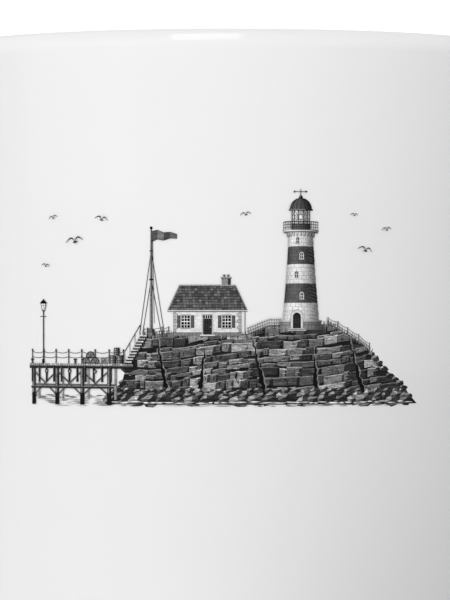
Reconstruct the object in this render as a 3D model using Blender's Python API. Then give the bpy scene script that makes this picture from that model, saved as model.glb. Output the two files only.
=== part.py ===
"""A white glazed ceramic mug: a turned cup with a foot ring, an ear handle luted to its wall, and the thin
film of a printed picture on its front.

Metres, +Z up. The origin is on the cup's axis, in the plane that the foot ring stands on. The handle is at
+X, and the picture faces -Y.
"""

import math

import bmesh
import bpy
from mathutils import Vector, geometry

# The cup, from the outside in.
CUP_RADIUS = 0.0410
CUP_HEIGHT = 0.0950
WALL = 0.0042
LIP_OUTSIDE = 0.0026
LIP_INSIDE = WALL - LIP_OUTSIDE
FLOOR_TOP = 0.0085
FLOOR_CORNER = 0.0090
HEEL_RADIUS = 0.0050
HEEL_BASE = 0.0011
HEEL_TURN = 68
FOOT_OUTSIDE = 0.0352
FOOT_INSIDE = 0.0312
FOOT_BEVEL = 0.0004
RECESS_RADIUS = 0.0302
RECESS_DEPTH = 0.0026

# The cup is turned in this many steps, and what lies on its wall bends at the same angles.
TURN_STEPS = 72
STEP_ANGLE = 2 * math.pi / TURN_STEPS

# A piece that lies on another one keeps this gap to it.
SEAT_GAP = 0.0003

# The handle. Its centre line leaves the wall level, and closes in a half oval that is squarer above than below.
HANDLE_TOP = 0.0765
HANDLE_BOTTOM = 0.0225
HANDLE_REACH = 0.0300
HANDLE_STRAIGHT = 0.0060
HANDLE_SQUARENESS_ABOVE = 2.5
HANDLE_SQUARENESS_BELOW = 2.1
HANDLE_WIDTH = 0.0118
HANDLE_THICKNESS = 0.0082
HANDLE_ROUNDNESS = 2.5
HANDLE_SIDES = 20
HANDLE_BENDS = 26
FLARE_RADIUS = 0.0026

# The printed picture, as one film bent round the wall. The middle of the picture is at this height and angle.
FILM_CENTRE_HEIGHT = 0.0594
FILM_CENTRE_ANGLE = math.radians(-91.6)
FILM_THICKNESS = 0.0002

# The main forms of the picture: a lighthouse and a keeper's cottage on a rocky head, with a jetty to its left.
# Each runs straight from its foot to its top, in millimetres from the picture's middle, and the film is all of
# them joined.
# name, foot height, foot left, foot right, top height, top left, top right
PICTURE_FORMS = (
    ("shelf", -14.40, -16.20, 28.20, -11.40, -13.60, 25.80),
    ("low cliff", -11.80, -13.20, 25.20, -8.00, -12.00, 21.60),
    ("high cliff", -8.40, -11.80, 21.00, -4.80, -10.60, 17.00),
    ("mound", -5.20, 3.20, 17.20, -3.40, 6.60, 14.60),
    ("jetty deck", -9.40, -28.20, -12.00, -8.60, -28.20, -12.00),
    ("first pile", -14.20, -27.60, -27.00, -9.00, -27.60, -27.00),
    ("second pile", -14.20, -23.60, -23.00, -9.00, -23.60, -23.00),
    ("third pile", -14.20, -19.60, -19.00, -9.00, -19.60, -19.00),
    ("lamp post", -9.00, -25.85, -25.45, -1.60, -25.85, -25.45),
    ("lamp", -1.80, -26.30, -25.00, -0.20, -26.00, -25.30),
    ("flagpole", -5.00, -9.60, -9.20, 9.20, -9.55, -9.25),
    ("cottage walls", -5.20, -6.40, 2.60, -1.40, -6.40, 2.60),
    ("cottage roof", -1.80, -7.20, 3.40, 1.60, -5.60, 1.80),
    ("chimney", 1.20, 0.00, 1.20, 3.00, 0.10, 1.10),
    ("tower", -3.80, 7.90, 13.10, 8.60, 8.80, 12.20),
    ("gallery", 8.40, 8.10, 12.90, 9.10, 8.10, 12.90),
    ("lantern", 8.90, 9.20, 11.80, 11.90, 9.20, 11.80),
    ("lantern roof", 11.70, 8.90, 12.10, 13.40, 10.10, 10.90),
    ("finial", 13.20, 10.25, 10.75, 14.40, 10.35, 10.65),
)
MILLIMETRE = 0.001

CERAMIC_WHITE = (0.86, 0.86, 0.85, 1.0)
FILM_GREY = (0.10, 0.10, 0.105, 1.0)


def clear_scene():
    for thing in list(bpy.data.objects):
        bpy.data.objects.remove(thing, do_unlink=True)


def glossy_material(name, colour, roughness):
    material = bpy.data.materials.new(name)
    material.use_nodes = True
    shader = material.node_tree.nodes["Principled BSDF"]
    shader.inputs["Base Color"].default_value = colour
    shader.inputs["Roughness"].default_value = roughness
    shader.inputs["Metallic"].default_value = 0.0
    return material


def add_object(name, mesh, material):
    thing = bpy.data.objects.new(name, mesh)
    bpy.context.scene.collection.objects.link(thing)
    if material:
        mesh.materials.append(material)
    return thing


def arc(centre_r, centre_z, radius, start, end, count):
    """Points (r, z) along an arc, with its angles in degrees from the outward direction."""
    points = []
    for i in range(count + 1):
        angle = math.radians(start + (end - start) * i / count)
        points.append((centre_r + radius * math.cos(angle), centre_z + radius * math.sin(angle)))
    return points


def cup_profile():
    """The half section of the cup, from the middle of its inside floor over the lip to the middle below."""
    inside = CUP_RADIUS - WALL
    lip_r = CUP_RADIUS - LIP_OUTSIDE
    heel_z = HEEL_BASE + HEEL_RADIUS
    corner = arc(inside - FLOOR_CORNER, FLOOR_TOP + FLOOR_CORNER, FLOOR_CORNER, 270, 360, 6)
    lip = arc(lip_r, CUP_HEIGHT - LIP_INSIDE, LIP_INSIDE, 180, 90, 4)
    lip += arc(lip_r, CUP_HEIGHT - LIP_OUTSIDE, LIP_OUTSIDE, 90, 0, 6)[1:]
    heel = arc(CUP_RADIUS - HEEL_RADIUS, heel_z, HEEL_RADIUS, 0, -HEEL_TURN, 5)
    foot = [
        (FOOT_OUTSIDE, FOOT_BEVEL),
        (FOOT_OUTSIDE - FOOT_BEVEL, 0.0),
        (FOOT_INSIDE + FOOT_BEVEL, 0.0),
        (FOOT_INSIDE, FOOT_BEVEL),
        (RECESS_RADIUS, RECESS_DEPTH),
        (0.0, RECESS_DEPTH),
    ]
    return [(0.0, FLOOR_TOP)] + corner + lip + heel + foot


def make_cup(material):
    profile = cup_profile()
    mesh = bpy.data.meshes.new("body")
    edges = [(i, i + 1) for i in range(len(profile) - 1)]
    mesh.from_pydata([(r, 0.0, z) for r, z in profile], edges, [])
    cup = add_object("body", mesh, material)
    turn = cup.modifiers.new("turn", "SCREW")
    turn.axis = "Z"
    turn.steps = turn.render_steps = TURN_STEPS
    turn.use_merge_vertices = True
    turn.merge_threshold = 0.00005
    turn.use_smooth_shade = True
    return cup


def handle_line():
    """Points (x, z) of the handle's centre line, from inside the wall at the top to inside it below."""
    middle = (HANDLE_TOP + HANDLE_BOTTOM) / 2
    half_height = (HANDLE_TOP - HANDLE_BOTTOM) / 2
    bend_x = CUP_RADIUS + HANDLE_STRAIGHT
    bend_reach = HANDLE_REACH - HANDLE_STRAIGHT
    flare_steps = (-0.0012, 0.0, 0.0004, 0.0011, 0.0022, 0.0040)
    leave = [(CUP_RADIUS + out, HANDLE_TOP) for out in flare_steps]
    arrive = [(CUP_RADIUS + out, HANDLE_BOTTOM) for out in reversed(flare_steps)]
    bends = []
    for i in range(HANDLE_BENDS + 1):
        turn = math.pi / 2 - math.pi * i / HANDLE_BENDS
        square = HANDLE_SQUARENESS_ABOVE if turn > 0 else HANDLE_SQUARENESS_BELOW
        across = abs(math.cos(turn)) ** (2 / square)
        up = math.copysign(abs(math.sin(turn)) ** (2 / square), math.sin(turn))
        bends.append((bend_x + bend_reach * across, middle + half_height * up))
    return leave + bends + arrive


def flare(distance):
    """How far the handle stands out from its plain section at a distance from the wall, as a round fillet."""
    if distance >= FLARE_RADIUS:
        return 0.0
    inside = FLARE_RADIUS - max(distance, 0.0)
    return FLARE_RADIUS - math.sqrt(FLARE_RADIUS**2 - inside**2)


def handle_section():
    """Points (across, out) of the handle's rounded section."""
    points = []
    for i in range(HANDLE_SIDES):
        angle = 2 * math.pi * i / HANDLE_SIDES
        c, s = math.cos(angle), math.sin(angle)
        across = math.copysign(abs(c) ** (2 / HANDLE_ROUNDNESS), c) * HANDLE_WIDTH / 2
        out = math.copysign(abs(s) ** (2 / HANDLE_ROUNDNESS), s) * HANDLE_THICKNESS / 2
        points.append((across, out))
    return points


def make_handle(material):
    line = [Vector((x, 0.0, z)) for x, z in handle_line()]
    shape = bmesh.new()
    rings = []
    side = Vector((0.0, 1.0, 0.0))
    for i, point in enumerate(line):
        along = (line[min(i + 1, len(line) - 1)] - line[max(i - 1, 0)]).normalized()
        out = side.cross(along)
        ring = []
        for a, o in handle_section():
            spoke = side * a + out * o
            plain = point + spoke
            distance = math.hypot(plain.x, plain.y) - CUP_RADIUS
            ring.append(shape.verts.new(plain + spoke.normalized() * flare(distance)))
        rings.append(ring)
    for first, second in zip(rings, rings[1:]):
        for i in range(HANDLE_SIDES):
            j = (i + 1) % HANDLE_SIDES
            shape.faces.new((first[i], first[j], second[j], second[i]))
    shape.faces.new(rings[0])
    shape.faces.new(rings[-1])
    bmesh.ops.recalc_face_normals(shape, faces=shape.faces)
    mesh = bpy.data.meshes.new("handle")
    shape.to_mesh(mesh)
    shape.free()
    mesh.shade_smooth()
    handle = add_object("handle", mesh, material)
    seat = handle.modifiers.new("seat", "BOOLEAN")
    seat.operation = "DIFFERENCE"
    seat.solver = "EXACT"
    seat.object = make_wall_cutter()
    return handle


def make_wall_cutter():
    """The cup's wall as a plain drum, which cuts the handle's ends to their seats."""
    shape = bmesh.new()
    bmesh.ops.create_cone(
        shape,
        cap_ends=True,
        segments=TURN_STEPS,
        radius1=CUP_RADIUS + SEAT_GAP,
        radius2=CUP_RADIUS + SEAT_GAP,
        depth=CUP_HEIGHT,
    )
    bmesh.ops.translate(shape, verts=shape.verts, vec=(0.0, 0.0, CUP_HEIGHT / 2))
    mesh = bpy.data.meshes.new("wall_cutter")
    shape.to_mesh(mesh)
    shape.free()
    cutter = add_object("wall_cutter", mesh, None)
    cutter.hide_render = True
    cutter.display_type = "WIRE"
    return cutter


def picture_outline():
    """The picture's forms joined into one flat region, as points (across, up) and faces."""
    points = []
    forms = []
    for name, foot, foot_left, foot_right, top, top_left, top_right in PICTURE_FORMS:
        corners = ((foot_left, foot), (foot_right, foot), (top_right, top), (top_left, top))
        forms.append([len(points) + i for i in range(len(corners))])
        points += [Vector(corner) * MILLIMETRE for corner in corners]
    joined = geometry.delaunay_2d_cdt(points, [], forms, 1, 1e-7)
    return joined[0], joined[2]


def bend_round_wall(across, height, lift):
    """A flat point laid on the wall, on the straight chord between two of the cup's turning steps."""
    step = (FILM_CENTRE_ANGLE + across / CUP_RADIUS) / STEP_ANGLE
    first = math.floor(step)
    share = step - first
    radius = CUP_RADIUS + SEAT_GAP + lift
    ends = [(first + k) * STEP_ANGLE for k in (0, 1)]
    x = radius * ((1 - share) * math.cos(ends[0]) + share * math.cos(ends[1]))
    y = radius * ((1 - share) * math.sin(ends[0]) + share * math.sin(ends[1]))
    return Vector((x, y, FILM_CENTRE_HEIGHT + height))


def make_print_film(material):
    points, faces = picture_outline()
    shape = bmesh.new()
    corners = [shape.verts.new((p.x, p.y, 0.0)) for p in points]
    for face in faces:
        shape.faces.new([corners[i] for i in face])
    steps = range(-TURN_STEPS, TURN_STEPS + 1)
    for bend in [(k * STEP_ANGLE - FILM_CENTRE_ANGLE) * CUP_RADIUS for k in steps]:
        parts = shape.verts[:] + shape.edges[:] + shape.faces[:]
        bmesh.ops.bisect_plane(shape, geom=parts, plane_co=(bend, 0.0, 0.0), plane_no=(1.0, 0.0, 0.0))
    front = bmesh.ops.extrude_face_region(shape, geom=shape.faces[:], use_keep_orig=True)["geom"]
    raised = {corner for corner in front if isinstance(corner, bmesh.types.BMVert)}
    for corner in shape.verts:
        lift = FILM_THICKNESS if corner in raised else 0.0
        corner.co = bend_round_wall(corner.co.x, corner.co.y, lift)
    bmesh.ops.recalc_face_normals(shape, faces=shape.faces)
    mesh = bpy.data.meshes.new("print_film")
    shape.to_mesh(mesh)
    shape.free()
    return add_object("print_film", mesh, material)


def main():
    clear_scene()
    glaze = glossy_material("white_glaze", CERAMIC_WHITE, 0.12)
    ink = glossy_material("printed_ink", FILM_GREY, 0.25)
    make_cup(glaze)
    make_handle(glaze)
    make_print_film(ink)


main()
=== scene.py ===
"""A white glazed mug with a picture of a lighthouse on a rocky head printed on its front in greys.

Metres, +Z up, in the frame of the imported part: the cup's axis is the Z axis, the handle is at +X and the
picture faces -Y. The file follows the mug as it is made: the cup, its handle, the printed picture from the
sea up, and last the table and lamps that it is photographed with.
"""

import math
import random

import bmesh
import bpy
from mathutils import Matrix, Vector, geometry


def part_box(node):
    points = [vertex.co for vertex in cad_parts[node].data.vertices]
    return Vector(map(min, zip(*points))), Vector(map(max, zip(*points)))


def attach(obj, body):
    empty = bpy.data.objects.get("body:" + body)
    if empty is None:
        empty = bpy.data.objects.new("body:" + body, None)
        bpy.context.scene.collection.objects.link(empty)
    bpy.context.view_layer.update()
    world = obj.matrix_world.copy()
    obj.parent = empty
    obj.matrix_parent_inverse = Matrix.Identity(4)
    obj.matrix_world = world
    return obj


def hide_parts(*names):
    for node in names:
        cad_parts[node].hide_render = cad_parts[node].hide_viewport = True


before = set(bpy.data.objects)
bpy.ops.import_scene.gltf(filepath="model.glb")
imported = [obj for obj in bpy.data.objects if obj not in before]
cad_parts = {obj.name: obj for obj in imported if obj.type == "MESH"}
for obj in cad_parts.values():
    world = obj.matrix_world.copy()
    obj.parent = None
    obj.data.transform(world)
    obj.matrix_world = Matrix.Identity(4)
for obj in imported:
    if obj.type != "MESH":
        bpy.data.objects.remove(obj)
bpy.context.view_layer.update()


# The glaze. A clear, glossy coat over white clay, poured and dipped. It sets with a skin that is very
# slightly rippled, with rare pinholes, and it is a touch uneven in tone where it lies thicker or thinner.

GLAZE_WHITE = (0.862, 0.864, 0.862, 1.0)
RIPPLE_SIZE = 0.0034
RIPPLE_DEPTH = 0.00003
RIPPLE_STRENGTH = 0.35
RIPPLE_ROUGHNESS = 0.03
SWELLS_PER_METRE = 42.0
SWELL_HEIGHT = 1.6
PINHOLES_PER_METRE = 95.0
PINHOLE_BOTTOM = 0.010
PINHOLE_RIM = 0.022
PINHOLE_TONE = -0.22
PINHOLE_HEIGHT = -1.2


def feed(tree, node, feeds):
    """Fills inputs of a node from a table: with a number or colour, or with a link from an output."""
    for socket, value in feeds.items():
        if isinstance(value, bpy.types.NodeSocket):
            tree.links.new(value, node.inputs[socket])
        else:
            node.inputs[socket].default_value = value
    return node


def add_node(tree, kind, feeds=None, **settings):
    node = tree.nodes.new("ShaderNode" + kind)
    for name, value in settings.items():
        setattr(node, name, value)
    return feed(tree, node, feeds or {})


def calculate(tree, operation, *values):
    return add_node(tree, "Math", dict(enumerate(values)), operation=operation).outputs[0]


def noise(tree, place, scale, detail=2.0, roughness=0.5):
    feeds = {"Vector": place, "Scale": scale, "Detail": detail, "Roughness": roughness}
    return add_node(tree, "TexNoise", feeds).outputs


def ease(tree, value, start, end, first, last):
    """Goes smoothly from first to last while the value goes from start to end."""
    feeds = {"Value": value, "From Min": start, "From Max": end, "To Min": first, "To Max": last}
    return add_node(tree, "MapRange", feeds, interpolation_type="SMOOTHSTEP").outputs["Result"]


def scale_colour(tree, colour, share):
    return add_node(tree, "VectorMath", {0: colour, "Scale": share}, operation="SCALE").outputs["Vector"]


def new_group(name, inputs, outputs):
    """A node group with sockets from tables of (name, kind) and, for inputs, a default."""
    group = bpy.data.node_groups.new(name, "ShaderNodeTree")
    for label, kind, default in inputs:
        socket = group.interface.new_socket(label, in_out="INPUT", socket_type="NodeSocket" + kind)
        socket.default_value = default
    for label, kind in outputs:
        group.interface.new_socket(label, in_out="OUTPUT", socket_type="NodeSocket" + kind)
    return group, group.nodes.new("NodeGroupInput").outputs, group.nodes.new("NodeGroupOutput")


def make_glaze_skin():
    """Ripples, pinholes and uneven tone of a glaze, from positions in metres."""
    inputs = (
        ("Position", "Vector", (0.0, 0.0, 0.0)),
        ("Colour", "Color", (0.8, 0.8, 0.8, 1.0)),
        ("Roughness", "Float", 0.1),
        ("Ripple Size", "Float", 0.003),
        ("Tone Change", "Float", 0.01),
        ("Pinholes", "Float", 1.0),
    )
    outputs = (("Colour", "Color"), ("Roughness", "Float"), ("Height", "Float"))
    group, given, result = new_group("Glaze Skin", inputs, outputs)
    place = given["Position"]
    ripple = noise(group, place, calculate(group, "DIVIDE", 1.0, given["Ripple Size"]), 1.5)["Fac"]
    swell = noise(group, place, SWELLS_PER_METRE)["Fac"]
    cells = add_node(group, "TexVoronoi", {"Vector": place, "Scale": PINHOLES_PER_METRE})
    hole = ease(group, cells.outputs["Distance"], PINHOLE_BOTTOM, PINHOLE_RIM, 1.0, 0.0)
    hole = calculate(group, "MULTIPLY", hole, given["Pinholes"])
    centred = calculate(group, "SUBTRACT", swell, 0.5)
    tone = calculate(group, "MULTIPLY_ADD", centred, given["Tone Change"], 1.0)
    tone = calculate(group, "MULTIPLY_ADD", hole, PINHOLE_TONE, tone)
    height = calculate(group, "MULTIPLY_ADD", swell, SWELL_HEIGHT, ripple)
    skin = {
        "Colour": scale_colour(group, given["Colour"], tone),
        "Roughness": calculate(group, "MULTIPLY_ADD", ripple, RIPPLE_ROUGHNESS, given["Roughness"]),
        "Height": calculate(group, "MULTIPLY_ADD", hole, PINHOLE_HEIGHT, height),
    }
    feed(group, result, skin)
    return group


glaze_skin = make_glaze_skin()


def add_glaze(tree, place, colour, roughness, tone_change=0.012, pinholes=0.8):
    feeds = {
        "Position": place,
        "Colour": colour,
        "Roughness": roughness,
        "Ripple Size": RIPPLE_SIZE,
        "Tone Change": tone_change,
        "Pinholes": pinholes,
    }
    return add_node(tree, "Group", feeds, node_tree=glaze_skin).outputs


def add_bump(tree, height):
    feeds = {"Height": height, "Strength": RIPPLE_STRENGTH, "Distance": RIPPLE_DEPTH}
    return add_node(tree, "Bump", feeds).outputs["Normal"]


# The cup. Slip-cast white earthenware, 4 mm thick, with a lip rounded by sponging, a rounded inside floor
# and a turned foot ring. It is glazed all over but for the face of the foot ring, wiped bare for the kiln.

CUP_RADIUS, _, CUP_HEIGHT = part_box("body")[1]
WALL = 0.0042
LIP_OUTSIDE = 0.0026
LIP_INSIDE = WALL - LIP_OUTSIDE
FLOOR_TOP = 0.0085
FLOOR_CORNER = 0.0090
HEEL_RADIUS = 0.0050
HEEL_BASE = 0.0011
HEEL_TURN = 68
FOOT_OUTSIDE = 0.0352
FOOT_INSIDE = 0.0312
FOOT_EDGE = 0.0004
RECESS_RADIUS = 0.0302
RECESS_DEPTH = 0.0026
RECESS_CORNER = 0.0008
BARE_HEIGHT = 0.00035
BARE_RAGGED = 0.0003
BARE_WAVES_PER_METRE = 620.0
TURN_STEPS = 288
CUP_GLOSS = 0.02
CLAY_WHITE = (0.74, 0.715, 0.67, 1.0)
CLAY_GRIT = 0.35
CLAY_GRAINS_PER_METRE = 2600.0
CLAY_ROUGHNESS = 0.85


def arc(centre_r, centre_z, radius, start, end, count):
    """Points (r, z) along an arc, with its angles in degrees from the outward direction."""
    points = []
    for i in range(count + 1):
        angle = math.radians(start + (end - start) * i / count)
        points.append((centre_r + radius * math.cos(angle), centre_z + radius * math.sin(angle)))
    return points


def straight(start, end, count):
    """Points between two others, without them, so that long faces stay square enough to shade evenly."""
    shares = [i / count for i in range(1, count)]
    return [(start[0] + (end[0] - start[0]) * t, start[1] + (end[1] - start[1]) * t) for t in shares]


def cup_profile():
    """The half section, from the middle of the inside floor over the lip to the middle of the underside."""
    inside = CUP_RADIUS - WALL
    lip_r = CUP_RADIUS - LIP_OUTSIDE
    corner = arc(inside - FLOOR_CORNER, FLOOR_TOP + FLOOR_CORNER, FLOOR_CORNER, 270, 360, 16)
    lip = arc(lip_r, CUP_HEIGHT - LIP_INSIDE, LIP_INSIDE, 180, 90, 12)
    lip += arc(lip_r, CUP_HEIGHT - LIP_OUTSIDE, LIP_OUTSIDE, 90, 0, 18)[1:]
    heel = arc(CUP_RADIUS - HEEL_RADIUS, HEEL_BASE + HEEL_RADIUS, HEEL_RADIUS, 0, -HEEL_TURN, 14)
    foot = arc(FOOT_OUTSIDE - FOOT_EDGE, FOOT_EDGE, FOOT_EDGE, 0, -90, 5)
    foot += arc(FOOT_INSIDE + FOOT_EDGE, FOOT_EDGE, FOOT_EDGE, 270, 180, 5)
    recess = arc(RECESS_RADIUS - RECESS_CORNER, RECESS_DEPTH - RECESS_CORNER, RECESS_CORNER, 0, 90, 6)
    points = [(0.0, FLOOR_TOP)]
    middle = [(0.0, RECESS_DEPTH)]
    for run, spacing in ((corner, 10), (lip, 24), (heel, 24), (foot, 3), (recess, 3), (middle, 10)):
        points += straight(points[-1], run[0], spacing) + run
    return points


def smooth_mesh(name, solid):
    """The mesh of a closed solid, with its faces turned outwards and shaded smooth."""
    bmesh.ops.recalc_face_normals(solid, faces=solid.faces)
    mesh = bpy.data.meshes.new(name)
    solid.to_mesh(mesh)
    solid.free()
    mesh.shade_smooth()
    return mesh


def turned_mesh(name, profile):
    """The half section turned once round the Z axis."""
    solid = bmesh.new()
    rings = []
    for r, z in profile:
        turns = [2 * math.pi * k / TURN_STEPS for k in range(TURN_STEPS if r > 1e-9 else 1)]
        rings.append([solid.verts.new((r * math.cos(a), r * math.sin(a), z)) for a in turns])
    for upper, lower in zip(rings, rings[1:]):
        for k in range(TURN_STEPS):
            corners = [upper[k % len(upper)], upper[(k + 1) % len(upper)]]
            corners += [lower[(k + 1) % len(lower)], lower[k % len(lower)]]
            solid.faces.new(list(dict.fromkeys(corners)))
    return smooth_mesh(name, solid)


def link_piece(name, mesh, material, slot, *nodes):
    piece = bpy.data.objects.new(name, mesh)
    bpy.context.scene.collection.objects.link(piece)
    mesh.materials.append(material)
    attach(piece, "root")
    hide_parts(*nodes)


def new_material(name):
    """A material with its node tree, its Principled BSDF and a source of positions in metres."""
    material = bpy.data.materials.new(name)
    material.use_nodes = True
    tree = material.node_tree
    return material, tree, tree.nodes["Principled BSDF"], add_node(tree, "TexCoord").outputs["Object"]


def mix(tree, factor, first, second, kind="FLOAT", **settings):
    """Two numbers or, of kind RGBA, two colours, mixed by a factor."""
    socket, output = (6, 2) if kind == "RGBA" else (2, 0)
    feeds = {"Factor": factor, socket: first, socket + 1: second}
    return add_node(tree, "Mix", feeds, data_type=kind, **settings).outputs[output]


def split(tree, place):
    return add_node(tree, "SeparateXYZ", {"Vector": place}).outputs


def cup_glaze():
    """The white glaze, and the bare clay on the foot ring with its uneven edge."""
    material, tree, shader, place = new_material("cup_glaze")
    skin = add_glaze(tree, place, GLAZE_WHITE, CUP_GLOSS)
    waves = noise(tree, place, BARE_WAVES_PER_METRE, 3.0)["Fac"]
    edge = calculate(tree, "MULTIPLY_ADD", waves, BARE_RAGGED, BARE_HEIGHT - BARE_RAGGED / 2)
    bare = calculate(tree, "LESS_THAN", split(tree, place)["Z"], edge)
    grit = noise(tree, place, CLAY_GRAINS_PER_METRE, 4.0)
    clay = mix(tree, CLAY_GRIT, CLAY_WHITE, grit["Color"], "RGBA", blend_type="MULTIPLY")
    looks = {
        "Base Color": mix(tree, bare, skin["Colour"], clay, "RGBA"),
        "Roughness": mix(tree, bare, skin["Roughness"], CLAY_ROUGHNESS),
        "Normal": add_bump(tree, mix(tree, bare, skin["Height"], grit["Fac"])),
    }
    feed(tree, shader, looks)
    return material


link_piece("cup", turned_mesh("cup", cup_profile()), cup_glaze(), "white_glaze", "body")


# The handle. An ear cast in a two-part mould and luted to the cup with slip while both were damp. The seats
# are wiped to small round fillets, and the glaze fills them further. A faint mould line is left on it.

HANDLE_TOP = 0.0765
HANDLE_BOTTOM = 0.0225
HANDLE_REACH = 0.0300
HANDLE_STRAIGHT = 0.0060
HANDLE_SQUARENESS_ABOVE = 2.5
HANDLE_SQUARENESS_BELOW = 2.1
HANDLE_WIDTH = 0.0118
HANDLE_THICKNESS = 0.0082
HANDLE_ROUNDNESS = 2.5
HANDLE_SIDES = 64
HANDLE_BENDS = 110
HANDLE_GLOSS = 0.04
FILLET = 0.0026
FILLET_STEPS = 12
SKIRT = 0.0006
SKIRT_DEPTH = 0.00002
ROOT_DEPTH = 0.0006
SEAM_INSIDE = 0.0001
SEAM_OUTSIDE = 0.0006
SEAM_HEIGHT = 1.4


def oval(turn, squareness):
    """A point on a rounded square of half width 1, at an angle in radians."""
    spots = math.cos(turn), math.sin(turn)
    return [math.copysign(abs(spot) ** (2 / squareness), spot) for spot in spots]


def handle_section():
    """Points (across, out) of the rounded section."""
    turns = [2 * math.pi * i / HANDLE_SIDES for i in range(HANDLE_SIDES)]
    spots = [oval(turn, HANDLE_ROUNDNESS) for turn in turns]
    return [(across * HANDLE_WIDTH / 2, out * HANDLE_THICKNESS / 2) for across, out in spots]


def root_ring(height, side, turn, past=0.0, under=0.0):
    """A ring of the fillet at a seat. turn is 0 where the fillet leaves the handle, and 90 on the wall."""
    angle = math.radians(turn)
    away = CUP_RADIUS + FILLET * (1 - math.sin(angle)) - under
    spread = FILLET * (1 - math.cos(angle)) + past
    ring = []
    for across, out in handle_section():
        length = math.hypot(across, out)
        y = across * (1 + spread / length)
        z = height + side * out * (1 + spread / length)
        ring.append(Vector((math.sqrt(away**2 - y**2), y, z)))
    return ring


def seat_rings(height, side):
    """The fillet's rings, then one just under the wall's surface and one deep in it, which don't show."""
    rings = [root_ring(height, side, 90 * k / FILLET_STEPS) for k in range(FILLET_STEPS + 1)]
    return rings + [root_ring(height, side, 90, SKIRT, under) for under in (SKIRT_DEPTH, ROOT_DEPTH)]


def bend_rings():
    """The rings along the handle's half oval, squarer above than below."""
    middle = (HANDLE_TOP + HANDLE_BOTTOM) / 2
    half_height = (HANDLE_TOP - HANDLE_BOTTOM) / 2
    line = []
    for i in range(HANDLE_BENDS + 1):
        turn = math.pi / 2 - math.pi * i / HANDLE_BENDS
        out, up = oval(turn, HANDLE_SQUARENESS_ABOVE if turn > 0 else HANDLE_SQUARENESS_BELOW)
        x = CUP_RADIUS + HANDLE_STRAIGHT + (HANDLE_REACH - HANDLE_STRAIGHT) * abs(out)
        line.append(Vector((x, 0.0, middle + half_height * up)))
    side = Vector((0.0, 1.0, 0.0))
    rings = []
    for i, point in enumerate(line):
        along = (line[min(i + 1, HANDLE_BENDS)] - line[max(i - 1, 0)]).normalized()
        if i in (0, HANDLE_BENDS):
            along = Vector((1.0 if i == 0 else -1.0, 0.0, 0.0))
        out = side.cross(along)
        rings.append([point + side * a + out * o for a, o in handle_section()])
    return rings


def handle_mesh():
    rings = seat_rings(HANDLE_TOP, -1)[::-1] + bend_rings() + seat_rings(HANDLE_BOTTOM, 1)
    solid = bmesh.new()
    loops = [[solid.verts.new(p) for p in ring] for ring in rings]
    for first, second in zip(loops, loops[1:]):
        for i in range(HANDLE_SIDES):
            j = (i + 1) % HANDLE_SIDES
            solid.faces.new((first[i], first[j], second[j], second[i]))
    solid.faces.new(loops[0])
    solid.faces.new(loops[-1])
    return smooth_mesh("cup_handle", solid)


def handle_glaze():
    """The white glaze, with the mould's line showing through it as a low ridge."""
    material, tree, shader, place = new_material("handle_glaze")
    skin = add_glaze(tree, place, GLAZE_WHITE, HANDLE_GLOSS)
    from_line = calculate(tree, "ABSOLUTE", split(tree, place)["Y"])
    seam = ease(tree, from_line, SEAM_INSIDE, SEAM_OUTSIDE, SEAM_HEIGHT, 0.0)
    looks = {
        "Base Color": skin["Colour"],
        "Roughness": skin["Roughness"],
        "Normal": add_bump(tree, calculate(tree, "ADD", seam, skin["Height"])),
    }
    feed(tree, shader, looks)
    return material


link_piece("cup_handle", handle_mesh(), handle_glaze(), "white_glaze", "handle")


# The printed picture. A ceramic transfer in greys, slid on wet and fired in. Each part of it is one thin
# film. Its forms are drawn flat in millimetres from the picture's middle, as (across, up), later ones over
# earlier ones, and are cut to one layer with no overlaps before it is bent round the cup.

PICTURE_HEIGHT = 0.0594
PICTURE_ANGLE = math.radians(-91.6)
PICTURE_REACH = 30.0
MILLIMETRE = 0.001
BEND_STEP = 1.4
FILM_LIFT = 0.00004
INK_ROUGHNESS = 0.10
INK_TONE_CHANGE = 0.02
INK_GLOSS = 0.06
GLOSS_SHOWS = 0.003
DARKEST_INK = 0.0008
STROKES_PER_METRE = 1500.0
GRITS_PER_METRE = 5200.0


def shape(grey, *points):
    """A filled form. Its grey is the one that shows, from 0 for black to 255 for white."""
    area = sum(a[0] * b[1] - b[0] * a[1] for a, b in zip(points, points[1:] + points[:1]))
    return [(list(points) if area > 0 else list(reversed(points)), grey)]


def bar(grey, left, foot, right, top):
    return shape(grey, (left, foot), (right, foot), (right, top), (left, top))


def bars(*rows):
    """Bars from rows of (grey, left, foot, right, top)."""
    return [form for row in rows for form in bar(*row)]


def posts(middle, *rows):
    """Bars about one middle, from rows of (grey, half width, foot, top)."""
    return bars(*[(grey, middle - half, foot, middle + half, top) for grey, half, foot, top in rows])


def layers(left, right, up, *rows):
    """Bars of one width, from rows of (grey, foot, top) with their heights counted from up."""
    return bars(*[(grey, left, up + foot, right, up + top) for grey, foot, top in rows])


def taper(grey, middle, foot, half_foot, top, half_top):
    """An upright form that narrows or widens from its foot to its top."""
    lower = ((middle - half_foot, foot), (middle + half_foot, foot))
    return shape(grey, *lower, (middle + half_top, top), (middle - half_top, top))


def disc(grey, across, up, radius, squash=1.0, sides=14):
    turns = [2 * math.pi * i / sides for i in range(sides)]
    rise = radius * squash
    return shape(grey, *[(across + radius * math.cos(a), up + rise * math.sin(a)) for a in turns])


def stroke(grey, width, *points, tip=1.0):
    """A pen line through the points. It runs from its width to that times tip at its end."""
    left, right = [], []
    for i, (x, y) in enumerate(points):
        before, after = points[max(i - 1, 0)], points[min(i + 1, len(points) - 1)]
        along = math.hypot(after[0] - before[0], after[1] - before[1])
        half = width / 2 * (1 + (tip - 1) * i / (len(points) - 1))
        step_x, step_y = (after[0] - before[0]) / along * half, (after[1] - before[1]) / along * half
        left.append((x - step_y, y + step_x))
        right.append((x + step_y, y - step_x))
    return shape(grey, *(left + right[::-1]))


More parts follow.
